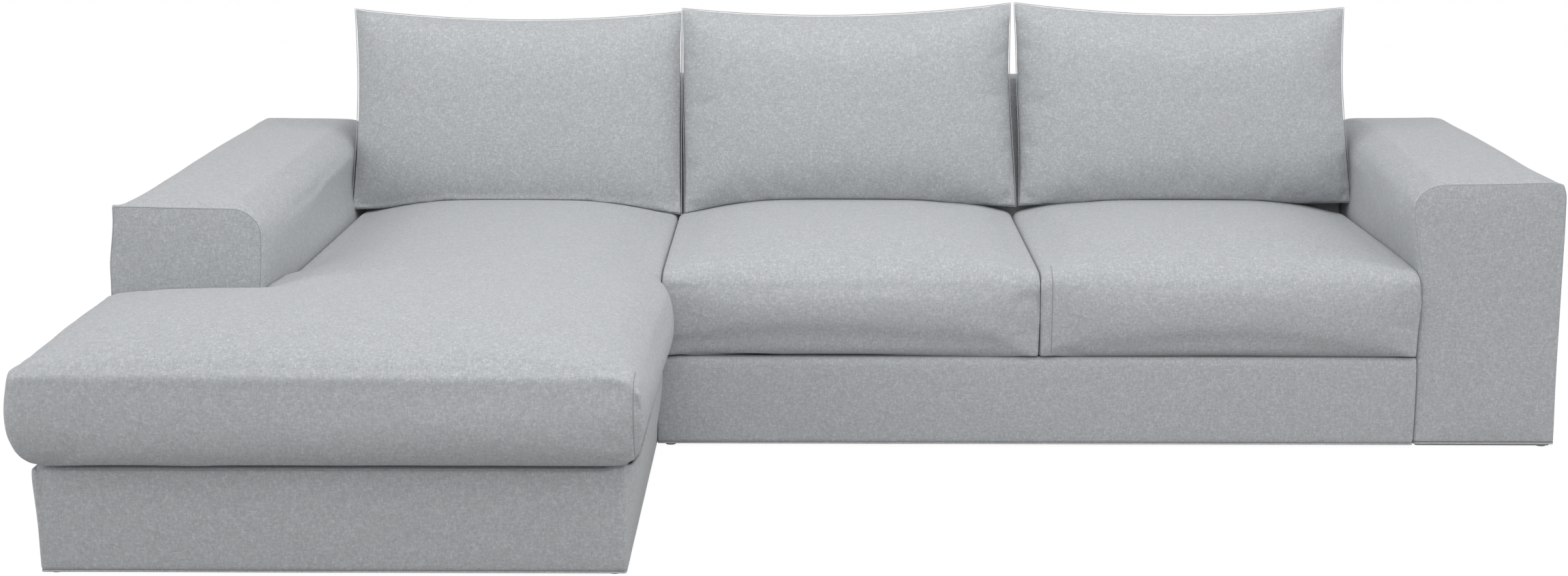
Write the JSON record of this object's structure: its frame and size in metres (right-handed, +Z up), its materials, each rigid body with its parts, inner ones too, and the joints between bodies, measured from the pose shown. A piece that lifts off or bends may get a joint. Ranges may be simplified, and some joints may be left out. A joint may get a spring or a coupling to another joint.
{
  "type": "corner sofa",
  "caption": "Upholstered corner sofa with a chaise, padded block arms, fixed seat cushions and loose knife-edge back cushions in grey woven fabric.",
  "frame": {"origin": "on the floor, under the middle of the bounding box", "axes": "+Z up, the sofa faces -Y, +X to the right as seen from the front, so the chaise is on the -X side"},
  "size_m": [3.1558, 1.839, 0.9377],
  "materials": {
    "grey_fabric": "matt woven melange upholstery fabric",
    "chipboard": "raw sawn board",
    "spring_steel": "bright drawn wire and zinc-plated fixings",
    "grey_plastic": "matt moulded",
    "black_spunbond": "matt non-woven dust cover"
  },
  "bodies": {
    "root": {"seat_cushion_chaise": "grey_fabric", "seat_cushion_middle": "grey_fabric", "seat_cushion_right": "grey_fabric", "chaise_front_rail": "chipboard", "chaise_rear_rail": "chipboard", "chaise_right_rail": "chipboard", "chaise_left_rail": "chipboard", "chaise_shoulder_rail": "chipboard", "chaise_arm_rail": "chipboard", "seat_front_rail": "chipboard", "seat_rear_rail": "chipboard", "seat_left_rail": "chipboard", "seat_right_rail": "chipboard", "seat_centre_rail": "chipboard", "chaise_front_cover": "grey_fabric", "chaise_left_cover": "grey_fabric", "chaise_right_cover": "grey_fabric", "seat_front_cover": "grey_fabric", "chaise_dust_cover_front": "black_spunbond", "chaise_dust_cover_rear": "black_spunbond", "seat_dust_cover": "black_spunbond", "left_arm_cover": "grey_fabric", "left_arm_top_board": "chipboard", "left_arm_front_board": "chipboard", "left_arm_inner_board": "chipboard", "left_arm_outer_board": "chipboard", "left_arm_bolt_front": "spring_steel", "left_arm_bolt_rear": "spring_steel", "right_arm_cover": "grey_fabric", "right_arm_top_board": "chipboard", "right_arm_front_board": "chipboard", "right_arm_inner_board": "chipboard", "right_arm_outer_board": "chipboard", "right_arm_bolt_front": "spring_steel", "right_arm_bolt_rear": "spring_steel", "chaise_back_cover": "grey_fabric", "chaise_back_top_board": "chipboard", "chaise_back_post_left": "chipboard", "chaise_back_post_right": "chipboard", "seat_back_cover": "grey_fabric", "seat_back_top_board": "chipboard", "seat_back_post_left": "chipboard", "seat_back_post_middle": "chipboard", "seat_back_post_right": "chipboard", "chaise_springs_front": "spring_steel", "chaise_springs_rear": "spring_steel", "seat_springs_middle": "spring_steel", "seat_springs_right": "spring_steel", "module_bracket_slot": "spring_steel", "module_bracket_tongue": "spring_steel", "glide_chaise_left": "grey_plastic", "glide_chaise_right": "grey_plastic", "glide_left_arm": "grey_plastic", "glide_seat_front": "grey_plastic", "glide_seat_rear": "grey_plastic", "glide_right_arm_front": "grey_plastic", "glide_right_arm_rear": "grey_plastic"},
    "back_cushion_left": {"back_cushion_left": "grey_fabric"},
    "back_cushion_middle": {"back_cushion_middle": "grey_fabric"},
    "back_cushion_right": {"back_cushion_right": "grey_fabric"}
  },
  "joints": [
    {"name": "back_cushion_left_lift", "type": "slide", "parent": "root", "child": "back_cushion_left", "axis": [0, 0, 1], "range_m": [0, 0.55]},
    {"name": "back_cushion_middle_lift", "type": "slide", "parent": "root", "child": "back_cushion_middle", "axis": [0, 0, 1], "range_m": [0, 0.55]},
    {"name": "back_cushion_right_lift", "type": "slide", "parent": "root", "child": "back_cushion_right", "axis": [0, 0, 1], "range_m": [0, 0.55]}
  ]
}
